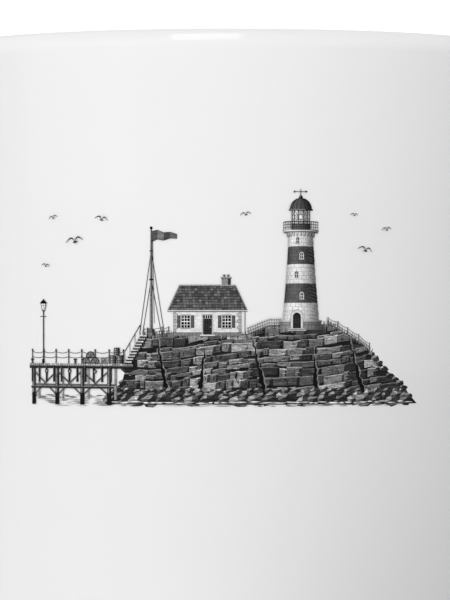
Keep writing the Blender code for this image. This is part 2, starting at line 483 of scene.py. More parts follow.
def linear(grey):
    """The ink's linear colour for a grey as it shows, less what the gloss adds to it."""
    share = grey / 255
    shown = share / 12.92 if share <= 0.04045 else ((share + 0.055) / 1.055) ** 2.4
    return max(shown - GLOSS_SHOWS, DARKEST_INK)


def film_mesh(name, forms, level):
    """The forms as one layer bent round the cup, with their greys as a colour attribute."""
    corners, faces, bends = [], [], []
    for points, _ in forms:
        faces.append(list(range(len(corners), len(corners) + len(points))))
        corners += [Vector(point) for point in points]
    for k in range(-int(PICTURE_REACH / BEND_STEP), int(PICTURE_REACH / BEND_STEP) + 1):
        bends.append((len(corners), len(corners) + 1))
        corners += [Vector((k * BEND_STEP, -PICTURE_REACH)), Vector((k * BEND_STEP, PICTURE_REACH))]
    points, _, cells, _, _, owners = geometry.delaunay_2d_cdt(corners, bends, faces, 1, 1e-6, True)
    shown = [(cell, forms[max(owner)][1]) for cell, owner in zip(cells, owners) if owner]
    used = sorted({i for cell, _ in shown for i in cell})
    place = {i: k for k, i in enumerate(used)}
    radius = CUP_RADIUS + level * FILM_LIFT
    bent = []
    for i in used:
        angle = PICTURE_ANGLE + points[i].x * MILLIMETRE / CUP_RADIUS
        height = PICTURE_HEIGHT + points[i].y * MILLIMETRE
        bent.append((radius * math.cos(angle), radius * math.sin(angle), height))
    mesh = bpy.data.meshes.new(name)
    mesh.from_pydata(bent, [], [[place[i] for i in cell] for cell, _ in shown])
    mesh.shade_smooth()
    ink = mesh.color_attributes.new("ink", "FLOAT_COLOR", "CORNER")
    for face, (_, grey) in zip(mesh.polygons, shown):
        tone = linear(grey)
        for corner in face.loop_indices:
            ink.data[corner].color = (tone, tone, tone, 1.0)
    mesh.normals_split_custom_set_from_vertices([(x / radius, y / radius, 0.0) for x, y, _ in bent])
    return mesh


def lay_film(name, forms, level, ink):
    """One part of the picture. The level says how far out it lies, over those with a lower one."""
    link_piece(name, film_mesh(name, forms, level), ink, "printed_ink", "print_film")


def make_print_grain():
    """The uneven grey of a pencil drawing: patches drawn out along the strokes, and fine grit over them."""
    inputs = (
        ("Position", "Vector", (0.0, 0.0, 0.0)),
        ("Colour", "Color", (0.1, 0.1, 0.1, 1.0)),
        ("Stroke Stretch", "Vector", (1.0, 1.0, 1.0)),
        ("Stroke Contrast", "Float", 0.4),
        ("Grit Contrast", "Float", 0.3),
    )
    group, given, result = new_group("Print Grain", inputs, (("Colour", "Color"),))
    stretch = {0: given["Position"], 1: given["Stroke Stretch"]}
    drawn = add_node(group, "VectorMath", stretch, operation="MULTIPLY").outputs["Vector"]
    strokes = noise(group, drawn, STROKES_PER_METRE, 4.0, 0.65)
    grit = noise(group, given["Position"], GRITS_PER_METRE)
    parts = []
    for grain, contrast in ((strokes, "Stroke Contrast"), (grit, "Grit Contrast")):
        centred = calculate(group, "SUBTRACT", grain["Fac"], 0.5)
        parts.append(calculate(group, "MULTIPLY_ADD", centred, given[contrast], 1.0))
    tone = calculate(group, "MULTIPLY", *parts)
    feed(group, result, {"Colour": scale_colour(group, given["Colour"], tone)})
    return group


print_grain = make_print_grain()


def ink_material(name, stretch, stroke_contrast, grit_contrast):
    """Printed greys with a pencil's grain, under the same rippled gloss as the glaze round them."""
    material, tree, shader, place = new_material(name)
    feeds = {
        "Position": place,
        "Colour": add_node(tree, "Attribute", attribute_name="ink").outputs["Color"],
        "Stroke Stretch": stretch,
        "Stroke Contrast": stroke_contrast,
        "Grit Contrast": grit_contrast,
    }
    grain = add_node(tree, "Group", feeds, node_tree=print_grain).outputs["Colour"]
    skin = add_glaze(tree, place, grain, INK_ROUGHNESS, INK_TONE_CHANGE, 0.0)
    looks = {
        "Base Color": skin["Colour"],
        "Roughness": skin["Roughness"],
        "Specular IOR Level": INK_GLOSS,
        "Normal": add_bump(tree, skin["Height"]),
    }
    feed(tree, shader, looks)
    return material


# The rocky head. The picture's darkest mass: beds of rock that dip to the left, broken into blocks with
# pale ledges and dark joints. Gullies run down them, boulders lie along the foot, and turf hangs over.

# across and up of the head's skyline, from the jetty round to its right end
HEAD_SKYLINE = (
    (-16.0, -14.1), (-14.9, -12.3), (-13.5, -11.2), (-12.9, -9.2), (-11.9, -7.7), (-11.5, -6.0),
    (-10.5, -4.9), (-7.0, -4.7), (3.2, -4.8), (6.2, -3.6), (14.7, -3.5), (16.9, -4.8),
    (19.2, -6.1), (21.3, -7.8), (23.2, -9.9), (25.3, -11.2), (26.6, -12.9), (27.9, -14.1),
)
HEAD_LEFT = HEAD_SKYLINE[0][0]
HEAD_RIGHT = HEAD_SKYLINE[-1][0]
HEAD_FOOT = -14.1
BED_DIP = 0.085
BED_WAVE = 0.24
BED_THICKNESSES = (0.55, 0.8, 1.1, 1.5)
BLOCK_LENGTHS = (0.7, 1.2, 1.8, 2.4, 3.2)
# across and up of each gully's head, and how far its foot lies to the right
GULLIES = ((-8.6, -4.8, 1.5), (-2.2, -6.6, -0.9), (3.9, -4.7, 2.0), (12.2, -6.2, 0.6), (17.3, -5.4, 2.3))
GULLY_STEPS = 9
# height and size of each row of boulders along the foot
BOULDER_ROWS = ((-12.35, 0.75), (-12.95, 0.95), (-13.55, 1.15))
# left and right ends of the slopes that carry loose stones
STONY_SLOPES = ((-15.6, -12.6), (20.6, 27.2))
TURF_LEFT = -10.8
TURF_RIGHT = 20.6
LIGHT_ANGLE = math.radians(128)


def skyline(across):
    for (left, low), (right, high) in zip(HEAD_SKYLINE, HEAD_SKYLINE[1:]):
        if left <= across <= right:
            return low + (high - low) * (across - left) / (right - left)
    return HEAD_FOOT


def rock_block(dice, left, right, foot, top):
    """One block of a bed. foot and top give its heights at three places from left to right."""
    places = [left + (right - left) * share for share in (0.0, dice.uniform(0.35, 0.65), 1.0)]
    buttress = 1.0 + 0.30 * math.sin(1.05 * left + 0.8 * math.sin(0.37 * left))
    face = dice.triangular(52, 150, 86) * buttress
    upper = list(zip(places, top))
    lower = list(zip(places, foot))
    forms = shape(face, *lower, *reversed(upper))
    end = min(dice.uniform(0.18, 0.65), 0.4 * (right - left))
    forms += shape(face * 0.46, (right - end, foot[2]), lower[2], upper[2], (right - 0.5 * end, top[2]))
    shade = dice.uniform(0.12, 0.34)
    forms += shape(24, *lower, *[(x, y + shade * dice.uniform(0.2, 1.0)) for x, y in reversed(lower)])
    ledge = dice.uniform(0.07, 0.20)
    lower = [(x, y - ledge * dice.uniform(0.4, 1.0)) for x, y in reversed(upper)]
    forms += shape(face + 62, *upper, *lower)
    height = top[1] - foot[1]
    for _ in range(dice.choice((1, 2, 3))):
        x = dice.uniform(left + 0.1, right - 0.1)
        start = top[1] - ledge - dice.uniform(0.0, 0.4) * height
        lean = dice.uniform(-0.22, 0.22)
        forms += stroke(28, 0.12, (x, start), (x + lean, start - dice.uniform(0.3, 0.6) * height), tip=0.3)
    for _ in range(round(2.2 * (right - left))):
        x = dice.uniform(left + 0.05, right - 0.45)
        y = dice.uniform(foot[1] + 0.1, top[1] - 0.15)
        tone = face * dice.choice((0.6, 0.72, 1.3, 1.45))
        far = (x + dice.uniform(0.3, 0.9), y + dice.uniform(-0.02, 0.10))
        forms += stroke(tone, 0.09, (x, y), far, tip=0.4)
    return forms


def rock_beds(dice):
    forms = []
    top = max(up for _, up in HEAD_SKYLINE) + 1.6
    while top > HEAD_FOOT - 1.8:
        thick = dice.choice(BED_THICKNESSES) + dice.uniform(0.0, 0.25)
        phase = dice.uniform(0.0, 1.2)
        left = HEAD_LEFT - dice.uniform(0.0, 2.0)
        while left < HEAD_RIGHT:
            right = left + dice.choice(BLOCK_LENGTHS) + dice.uniform(0.0, 0.5)
            step = dice.uniform(-0.16, 0.24)
            places = (left, (left + right) / 2, right)
            dips = [BED_DIP * (x - 6.0) + BED_WAVE * math.sin(0.33 * x + phase) for x in places]
            levels = [top + step + dip for dip in dips]
            upper = [min(y + dice.uniform(-0.08, 0.08), skyline(x)) for x, y in zip(places, levels)]
            lower = [max(y - thick + dice.uniform(-0.06, 0.06), HEAD_FOOT) for y in levels]
            if all(high - low > 0.22 for low, high in zip(lower, upper)):
                forms += rock_block(dice, left, right, lower, upper)
            left = right
        top -= thick
    return forms


def gully(dice, across, top, drift):
    """A dark cleft that widens downwards in short plumb steps, with its right wall faintly lit."""
    left, right = [], []
    for i in range(GULLY_STEPS + 1):
        share = i / GULLY_STEPS
        up = top + (HEAD_FOOT + 0.6 - top) * share
        middle = across + drift * share + dice.uniform(-0.12, 0.12)
        half = 0.03 + 0.34 * share * dice.uniform(0.5, 1.5)
        left.append((middle - half, up))
        right.append((middle + half, up))
        left.append((middle - half + dice.uniform(-0.08, 0.08), up - 0.55))
        right.append((middle + half + dice.uniform(-0.08, 0.08), up - 0.55))
    lit = [(x + dice.uniform(0.04, 0.26), y) for x, y in right]
    return shape(128, *right, *reversed(lit)) + shape(18, *left, *reversed(right))


def boulder(dice, across, up, size):
    """One stone as a fan of facets round an inner point, with a dark line along its lower right."""
    sides = dice.choice((6, 7, 8))
    rim = []
    for i in range(sides):
        angle = 2 * math.pi * (i + dice.uniform(-0.25, 0.25)) / sides
        reach = size * dice.uniform(0.82, 1.12)
        rim.append((across + reach * math.cos(angle), up + 0.58 * reach * math.sin(angle)))
    peak = (across + size * dice.uniform(-0.30, 0.15), up + size * dice.uniform(0.02, 0.22))
    depth = dice.uniform(0.8, 1.15)
    forms = shape(22, *[(x + 0.08 * size, y - 0.12 * size) for x, y in rim])
    for (x1, y1), (x2, y2) in zip(rim, rim[1:] + rim[:1]):
        facing = math.atan2((y1 + y2) / 2 - peak[1], (x1 + x2) / 2 - peak[0])
        lit = max(0.0, math.cos(facing - LIGHT_ANGLE)) ** 0.8
        forms += shape(depth * (50 + 128 * lit) + dice.uniform(-10, 10), peak, (x1, y1), (x2, y2))
    for _ in range(3):
        turn = dice.uniform(math.pi, 2 * math.pi)
        far = (peak[0] + 0.7 * size * math.cos(turn), peak[1] + 0.42 * size * math.sin(turn))
        forms += stroke(30, 0.11, peak, far, tip=0.3)
    return forms


def boulder_heap(dice):
    forms = []
    for up, size in BOULDER_ROWS:
        across = HEAD_LEFT + 0.8
        while across < HEAD_RIGHT - 0.6:
            if up + 0.4 * size < skyline(across) + 0.45:
                shift = dice.uniform(-0.12, 0.18)
                forms += boulder(dice, across, up + shift, size * dice.uniform(0.7, 1.2))
            across += size * dice.uniform(1.2, 2.1)
    for across, end in STONY_SLOPES:
        while across < end:
            size = dice.uniform(0.45, 0.80)
            forms += boulder(dice, across, skyline(across) - 0.45 * size, size)
            across += size * dice.uniform(0.9, 1.5)
    return forms


def turf(dice):
    """Grass along the level top and the right slope: a fringe that hangs over, and blades above it."""
    forms = []
    across = TURF_LEFT
    while across < TURF_RIGHT:
        edge = skyline(across)
        reach = dice.uniform(0.16, 0.34)
        drop = dice.uniform(0.35, 0.95) * (1.0 if across < 16.0 else 0.5)
        slope = skyline(across + reach) - edge
        tone = dice.uniform(78, 138)
        left = (across, edge + 0.03)
        right = (across + reach + 0.06, edge + slope + 0.03)
        forms += shape(tone, left, right, (across + 0.6 * reach, edge + slope - drop))
        for _ in range(2):
            x = across + dice.uniform(0.0, reach)
            lean = dice.uniform(-0.05, 0.28)
            tall = dice.uniform(0.20, 0.55)
            forms += stroke(dice.uniform(48, 112), 0.08, (x, edge - 0.1), (x + lean, edge + tall), tip=0.3)
        across += reach
    return forms


head_dice = random.Random(7)
head = shape(34, *HEAD_SKYLINE) + rock_beds(head_dice)
for gully_place in GULLIES:
    head += gully(head_dice, *gully_place)
head += boulder_heap(head_dice) + turf(head_dice)
stone_ink = ink_material("stone_ink", (0.5, 0.5, 2.4), stroke_contrast=3.0, grit_contrast=1.5)
lay_film("print_head", head, 1, stone_ink)


# The water. Level pencil strokes along the foot of the rocks and round the jetty's piles, with pale broken
# foam where the swell meets the stones.


SEA_ROWS = 9
SEA_TOP = -12.95
SEA_STEP = 0.165
SEA_LEFT = -28.0
SEA_RIGHT = 27.6
OPEN_WATER_RIGHT = -15.4
ROCKS_FOOT = -13.75
FOAM_LEFT = -15.6
FOAM_RIGHT = 27.2
FOAM_UP = -13.86
FOAM_GREY = 236


def ripple(dice, left, up, length, tone):
    """A level stroke, thick in the middle and fine at both ends."""
    sag = dice.uniform(-0.05, 0.05)
    half = length / 2
    thick = dice.uniform(0.05, 0.10)
    # across as a share of the half length, then the shares of the sag and of the thickness in its height
    line = ((-1.0, 0, 0), (-0.3, 1, -1), (0.4, 1, -0.8), (1.0, 0.5, 0), (0.3, 1, 0.6), (-0.4, 1, 0.7))
    points = [(left + half + share * half, up + low * sag + rise * thick) for share, low, rise in line]
    return shape(tone, *points)


sea_dice = random.Random(11)
sea = []
for row in range(SEA_ROWS):
    up = SEA_TOP - SEA_STEP * row
    left = SEA_LEFT + 0.5 * row
    while left < SEA_RIGHT - 0.3 * row:
        length = sea_dice.uniform(0.7, 3.2)
        if left + length / 2 < OPEN_WATER_RIGHT or up < ROCKS_FOOT:
            tone = sea_dice.uniform(70, 190)
            sea += ripple(sea_dice, left, up, length, tone)
        left += length + sea_dice.uniform(0.1, 1.3)
left = FOAM_LEFT
while left < FOAM_RIGHT:
    length = sea_dice.uniform(0.5, 1.6)
    up = FOAM_UP + sea_dice.uniform(-0.06, 0.16)
    sea += ripple(sea_dice, left, up, length, FOAM_GREY)
    left += length * sea_dice.uniform(0.8, 1.3)
water_ink = ink_material("water_ink", (0.4, 0.4, 3.2), stroke_contrast=2.0, grit_contrast=1.0)
lay_film("print_water", sea, 2, water_ink)


# The jetty. Tarred piles with crossed braces carry a plank deck with a rope rail. It has upright rubbing
# timbers, mooring rings, bollards and a lamp at its head. Creels, a crate and casks stand by the steps.

DECK_LEFT = -28.1
DECK_RIGHT = -11.9
DECK_FOOT = -9.4
DECK_TOP = -8.75
PLANK_FOOT = DECK_TOP - 0.24
PLANK_COUNT = 45
PILES = (-27.3, -23.3, -19.3, -15.3)
PILE_HALF = 0.30
PILE_FOOT = -14.2
PILE_TONE = 74
BACK_PILE_FOOT = -13.5
WALE_TOP = -11.75
TIMBER_FOOT = -11.2
RING_UP = -9.78
# grey and width of each brace between two piles, and its heights at the left one and at the right one
BRACES = ((92, 0.24, -13.0, -9.7), (60, 0.24, -9.7, -13.0), (150, 0.06, -9.62, -12.92))
# across, height above the deck, half width and height of each cask
CASKS = ((-14.7, 0.0, 0.42, 1.15), (-13.7, 0.0, 0.42, 1.15), (-14.2, 1.1, 0.40, 1.05))
POST_TOP = DECK_TOP + 1.75
LAMP_ACROSS = -25.65
LAMP_FOOT = -1.75


def pile(across):
    """A round timber: its body, a lit strip, a shaded edge, weed up to the tide line and two iron bands."""
    left, right = across - 1.12 * PILE_HALF, across + 1.12 * PILE_HALF
    ragged = [(left + (right - left) * k / 6, PILE_FOOT + 1.5 + 0.3 * (k % 2)) for k in range(7)]
    forms = []
    for share, start, end in ((1.0, -1.0, 1.0), (2.0, -0.62, -0.22), (0.35, 0.45, 1.0)):
        start, end = across + start * PILE_HALF, across + end * PILE_HALF
        forms += bar(PILE_TONE * share, start, PILE_FOOT, end, DECK_FOOT)
    forms += shape(26, (left, PILE_FOOT), (right, PILE_FOOT), *reversed(ragged))
    return forms + layers(left, right, DECK_FOOT, (20, -0.9, -0.83), (20, -1.1, -1.03))


def lit_post(middle, half, foot, top, grey, lit, lit_grey):
    """A post with a lit strip down its left side."""
    return posts(middle, (grey, half, foot, top)) + bar(lit_grey, middle - half, foot, middle - lit, top)


def creel(left, foot, width=1.25, height=0.80):
    """A lobster creel: a rounded frame over a flat base, with a net drawn on it."""
    turns = [math.pi * k / 12 for k in range(13)]
    middle = left + width / 2
    crown = [(middle + width / 2 * math.cos(a), foot + height * math.sin(a) ** 0.7) for a in turns]
    forms = shape(96, *crown)
    for k in range(1, 6):
        reach = crown[12 - 2 * k]
        forms += stroke(38, 0.06, (reach[0], foot), (left + width * (k - 1) / 4.2, reach[1]))
        forms += stroke(170, 0.05, (reach[0], foot), (left + width * (k + 0.6) / 6, reach[1]))
    forms += stroke(26, 0.10, *crown) + stroke(30, 0.08, (middle, foot), (middle, foot + height))
    return forms + bar(34, left - 0.06, foot, left + width + 0.06, foot + 0.11)


def cask(across, foot, half, height):
    middle, top = foot + height / 2, foot + height
    sides = ((-1, foot), (1, foot), (1.16, middle), (1, top), (-1, top), (-1.16, middle))
    lit = ((-0.7, foot), (-0.3, foot), (-0.34, middle), (-0.3, top), (-0.7, top), (-0.82, middle))
    forms = []
    for grey, outline in ((96, sides), (165, lit)):
        forms += shape(grey, *[(across + share * half, up) for share, up in outline])
    forms += bar(40, across + 0.45 * half, foot, across + half, top)
    for share in (0.14, 0.40, 0.66, 0.90):
        up = foot + share * height
        forms += posts(across, (18, half * (1.0 + 0.16 * (1 - abs(2 * share - 1))), up - 0.04, up + 0.04))
    return forms


def crate(left, foot, width, height):
    right, top = left + width, foot + height
    seams = [k * height / 4 for k in range(1, 4)]
    forms = layers(left, right, foot, (148, 0.0, height), *[(62, up - 0.03, up + 0.03) for up in seams])
    for x in (left, right - 0.16):
        forms += bars((176, x, foot, x + 0.16, top), (44, x + 0.13, foot, x + 0.17, top))
    return forms + stroke(40, 0.07, (left, foot), (right, top)) + bar(36, left, foot, right, foot + 0.06)


jetty_dice = random.Random(3)
jetty = []
for across in PILES:
    jetty += layers(across + 0.75, across + 1.1, 0.0, (150, BACK_PILE_FOOT, DECK_FOOT))
    jetty += layers(across + 0.98, across + 1.1, 0.0, (112, BACK_PILE_FOOT, DECK_FOOT))
jetty += bar(96, DECK_LEFT + 0.9, -11.7, -14.2, -11.45)
for near, far in zip(PILES, PILES[1:]):
    for tone, width, start, end in BRACES:
        jetty += stroke(tone, width, (near, start), (far, end))
for across in PILES:
    jetty += pile(across)
jetty += layers(DECK_LEFT + 0.3, -14.6, WALE_TOP, (52, -0.3, 0.0), (128, -0.06, 0.0))
jetty += layers(DECK_LEFT, DECK_RIGHT, DECK_FOOT, (44, 0.0, 0.41), (22, 0.0, 0.1), (112, 0.31, 0.41))
for k in range(PLANK_COUNT):
    left, right = [DECK_LEFT + (DECK_RIGHT - DECK_LEFT) * n / PLANK_COUNT for n in (k, k + 1)]
    jetty += bar(jetty_dice.uniform(142, 200), left, PLANK_FOOT, right, DECK_TOP)
    jetty += bar(40, right - 0.07, PLANK_FOOT, right, DECK_TOP)
rail_posts = [DECK_LEFT + 0.5 + 2.05 * k for k in range(8)]
for post in rail_posts:
    jetty += lit_post(post, 0.09, DECK_TOP, POST_TOP, 52, 0.03, 142)
    jetty += disc(40, post, DECK_TOP + 1.8, 0.14, sides=8)
for first, second in zip(rail_posts, rail_posts[1:]):
    for up, sag in ((DECK_TOP + 1.60, 0.22), (DECK_TOP + 0.90, 0.16)):
        line = [(first + (second - first) * k / 6, up - sag * (1 - (k / 3 - 1) ** 2)) for k in range(7)]
        jetty += stroke(70, 0.08, *line)
for k in range(11):
    left = DECK_LEFT + 0.35 + 1.25 * k
    jetty += bar(30, left, TIMBER_FOOT, left + 0.34, DECK_TOP - 0.30)
    jetty += bar(104, left + 0.03, TIMBER_FOOT + 0.1, left + 0.10, DECK_TOP - 0.34)
for ring in (-25.1, -21.3, -17.4):
    jetty += disc(24, ring, RING_UP, 0.30, sides=16) + disc(150, ring, RING_UP - 0.02, 0.17, sides=12)
for bollard in (-27.6, -20.4):
    body = (34, 0.16, DECK_TOP, DECK_TOP + 0.55)
    jetty += posts(bollard, body, (30, 0.26, DECK_TOP + 0.45, DECK_TOP + 0.62))
    jetty += layers(bollard - 0.10, bollard - 0.02, DECK_TOP, (128, 0.0, 0.45))
for across, foot, half, height in CASKS:
    jetty += cask(across, DECK_TOP + foot, half, height)
jetty += crate(-16.55, DECK_TOP, 1.05, 0.85)
for left, foot in ((-19.4, 0.0), (-18.0, 0.0), (-18.7, 0.78)):
    jetty += creel(left, DECK_TOP + foot)
jetty += lit_post(LAMP_ACROSS, 0.10, DECK_TOP, LAMP_FOOT, 40, 0.04, 140)
jetty += posts(LAMP_ACROSS, (30, 0.22, DECK_TOP, DECK_TOP + 0.55))
jetty += stroke(40, 0.09, (LAMP_ACROSS - 0.55, -2.5), (LAMP_ACROSS + 0.55, -2.5))
jetty += taper(30, LAMP_ACROSS, -1.78, 0.24, -0.70, 0.50) + taper(236, LAMP_ACROSS, -1.66, 0.15, -0.80, 0.38)
jetty += posts(LAMP_ACROSS, (44, 0.03, -1.7, -0.7)) + taper(16, LAMP_ACROSS, -0.74, 0.65, -0.30, 0.14)
jetty += disc(26, LAMP_ACROSS, -0.24, 0.10, sides=8)
timber_ink = ink_material("timber_ink", (0.4, 0.4, 3.2), stroke_contrast=2.0, grit_contrast=1.2)
lay_film("print_jetty", jetty, 3, timber_ink)


# The steps. Slabs laid into the rock, from the jetty's deck up to the level top, each with a pale worn
# edge. An iron handrail on thin posts rises along them.

STEPS_LEFT = -13.1
STEP_COUNT = 10
STEP_RUN = 0.235
STEP_RISE = 0.385
STEP_LENGTH = 1.15
RAIL_FOOT = (-13.0, DECK_TOP + 1.70)

steps = []
for k in range(STEP_COUNT):
    left = STEPS_LEFT + STEP_RUN * k
    foot = DECK_TOP - 0.05 + STEP_RISE * k
    top = foot + STEP_RISE
    steps += bars(
        (64, left, foot, left + STEP_LENGTH, top),
        (206, left, foot + 0.62 * STEP_RISE, left + STEP_LENGTH, top),
        (28, left + 1.0, foot, left + 1.2, top),
    )
    if k % 3 == 0:
        steps += bar(30, left + 0.04, top, left + 0.11, foot + 1.75)
steps += stroke(24, 0.11, RAIL_FOOT, (RAIL_FOOT[0] + 9 * STEP_RUN, RAIL_FOOT[1] + 9 * STEP_RISE))
lay_film("print_steps", steps, 4, stone_ink)


# The flagpole. A painted pole in a stone base, held by four wires, with a halyard and a plain pennant. The
# pennant streams to the right in four soft folds, and narrows to a blunt end.

POLE_ACROSS = -9.4
POLE_FOOT = -4.9
POLE_TOP = 9.2
BASE_TOP = -4.1
# foot's place and head's height of each wire
STAYS = ((-11.0, 6.2), (-7.6, 6.2), (-10.6, 2.4), (-8.0, 2.4))
# across and up from the pole's head, of the pennant's upper edge, and how deep the cloth is there
PENNANT = (
    (0.05, -0.45, 1.35), (0.85, -0.28, 1.18), (1.7, -0.62, 1.0), (2.6, -0.55, 0.78), (3.5, -0.86, 0.52),
)
FOLD_TONES = (84, 122, 74, 108)

pole = []
for stay_foot, stay_head in STAYS:
    pole += stroke(40, 0.09, (stay_foot, POLE_FOOT + 0.1), (POLE_ACROSS, stay_head))
pole += stroke(40, 0.07, (POLE_ACROSS + 0.42, -3.4), (POLE_ACROSS + 0.16, POLE_TOP - 0.5))
pole += taper(52, POLE_ACROSS, POLE_FOOT, 0.21, POLE_TOP, 0.10)
pole += taper(186, POLE_ACROSS - 0.05, POLE_FOOT, 0.05, POLE_TOP, 0.02)
pole += posts(POLE_ACROSS, (34, 0.26, 2.3, 2.5), (34, 0.22, 6.1, 6.28))
pole += disc(30, POLE_ACROSS, POLE_TOP + 0.02, 0.20, sides=12)
pole += taper(60, POLE_ACROSS, -5.0, 0.62, BASE_TOP, 0.42)
pole += taper(120, POLE_ACROSS - 0.22, -5.0, 0.40, BASE_TOP, 0.24)
upper = [(POLE_ACROSS + x, POLE_TOP + y) for x, y, _ in PENNANT]
lower = [(POLE_ACROSS + x, POLE_TOP + y - deep) for x, y, deep in PENNANT]
for tone, low, next_low, high, next_high in zip(FOLD_TONES, lower, lower[1:], upper, upper[1:]):
    pole += shape(tone, low, next_low, next_high, high)
    pole += stroke(32, 0.08, low, next_low) + stroke(32, 0.08, high, next_high)
lay_film("print_flagpole", pole, 2, timber_ink)


# The keeper's cottage. Whitewashed walls with dressed corners, sash windows with shutters, a plank door, a
# slate roof with hipped ends, a brick chimney with two pots, and a paling fence towards the tower.

COTTAGE_LEFT = -6.4
COTTAGE_RIGHT = 2.6
COTTAGE_FOOT = -5.0
PLINTH_TOP = COTTAGE_FOOT + 0.42
QUOIN_RISE = 0.42
EAVES = -1.55
RIDGE = 1.6
ROOF_FOOT = EAVES - 0.15
ROOF_LEFT = -7.15
ROOF_RIGHT = 3.35
HIP_RUN = 1.55
SLATE_ROWS = 9
SLATE_STEP = 0.42
SLATE_WIDTH = 0.37
CHIMNEY_LEFT = 0.0
CHIMNEY_RIGHT = 1.2
CHIMNEY_FOOT = 1.2
CHIMNEY_TOP = 2.7
BRICK_RISE = 0.215
DOOR_LEFT = -2.44
DOOR_RIGHT = -1.28
DOOR_FOOT = COTTAGE_FOOT + 0.12
DOOR_TOP = -2.75
DOOR_PLANK = 0.29
FANLIGHT_FOOT = -2.70
FANLIGHT_TOP = -2.30
PALE_COUNT = 15
PALE_STEP = 0.31
PALE_WIDTH = 0.14


def window(middle, foot=-3.95, width=1.10, height=1.60, panes=3):
    """A sash window: stone surround and sill, dark glass with a paler upper corner, and pale bars."""
    left, right, top = middle - width / 2, middle + width / 2, foot + height
    forms = bars(
        (186, left - 0.14, foot - 0.12, right + 0.14, top + 0.20),
        (92, left - 0.14, foot - 0.17, right + 0.18, foot - 0.12),
        (28, left, foot, right, top),
    )
    forms += shape(88, (left, top), (left, top - 0.5 * height), (left + 0.55 * width, top))
    forms += bar(240, left, foot + 0.47 * height, right, foot + 0.54 * height)
    for k in range(1, panes):
        forms += posts(left + width * k / panes, (236, 0.035, foot, top))
    for share in (0.24, 0.77):
        forms += bar(228, left, foot + share * height - 0.03, right, foot + share * height + 0.03)
    return forms + bar(20, left, top - 0.06, right, top)


def shutter(left, foot=-3.98, width=0.44, height=1.66, slats=9):
    right, top = left + width, foot + height
    forms = bar(66, left, foot, right, top)
    for k in range(slats):
        up = foot + 0.08 + (height - 0.16) * k / slats
        forms += bar(124, left + 0.07, up, right - 0.07, up + 0.05)
    return forms + bar(26, right - 0.04, foot, right, top)


cottage_dice = random.Random(5)
cottage = bar(226, COTTAGE_LEFT, COTTAGE_FOOT, COTTAGE_RIGHT, EAVES)
for _ in range(150):
    x = cottage_dice.uniform(COTTAGE_LEFT + 0.1, COTTAGE_RIGHT - 0.7)
    y = cottage_dice.uniform(COTTAGE_FOOT + 0.3, EAVES - 0.3)
    wash = cottage_dice.choice((206, 214, 236, 240))
    cottage += stroke(wash, 0.10, (x, y), (x + cottage_dice.uniform(0.2, 0.6), y + 0.04), tip=0.4)
cottage += bar(132, COTTAGE_LEFT, COTTAGE_FOOT, COTTAGE_RIGHT, PLINTH_TOP)
for k in range(18):
    x = COTTAGE_LEFT + 0.5 * k
    cottage += bar(84, x, COTTAGE_FOOT, x + 0.06, PLINTH_TOP)
cottage += bar(76, COTTAGE_LEFT, COTTAGE_FOOT + 0.38, COTTAGE_RIGHT, COTTAGE_FOOT + 0.44)
for k in range(7):
    quoin = 0.62 if k % 2 else 0.40
    foot = COTTAGE_FOOT + 0.44 + QUOIN_RISE * k
    for left, right in ((COTTAGE_LEFT, COTTAGE_LEFT + quoin), (COTTAGE_RIGHT - quoin, COTTAGE_RIGHT)):
        cottage += bar(104, left, foot, right, foot + QUOIN_RISE)
        cottage += bar(172 + 6 * (k % 3), left + 0.04, foot + 0.04, right - 0.04, foot + 0.40)
cottage += layers(COTTAGE_LEFT, COTTAGE_RIGHT, EAVES, (150, -0.36, 0.0), (86, -0.22, 0.0))
for middle in (-4.75, 0.65):
    cottage += window(middle) + shutter(middle - 1.14) + shutter(middle + 0.70)

cottage += bar(178, DOOR_LEFT - 0.18, COTTAGE_FOOT, DOOR_RIGHT + 0.18, FANLIGHT_TOP + 0.15)
cottage += bar(48, DOOR_LEFT, DOOR_FOOT, DOOR_RIGHT, DOOR_TOP)
for k in range(1, 4):
    seam = DOOR_LEFT + DOOR_PLANK * k
    cottage += bar(20, seam - 0.02, DOOR_FOOT, seam + 0.03, DOOR_TOP)
for up in (-4.35, -3.25):
    cottage += bar(14, DOOR_LEFT, up, DOOR_RIGHT - 0.34, up + 0.07)
cottage += disc(210, DOOR_RIGHT - 0.17, -3.85, 0.06, sides=8)
cottage += bar(30, DOOR_LEFT, FANLIGHT_FOOT, DOOR_RIGHT, FANLIGHT_TOP)
for k in range(1, 4):
    seam = DOOR_LEFT + DOOR_PLANK * k
    cottage += bar(232, seam - 0.03, FANLIGHT_FOOT, seam + 0.03, FANLIGHT_TOP)
step_left, step_right = DOOR_LEFT - 0.41, DOOR_RIGHT + 0.41
cottage += layers(step_left, step_right, COTTAGE_FOOT, (214, -0.06, 0.14), (70, -0.12, -0.04))

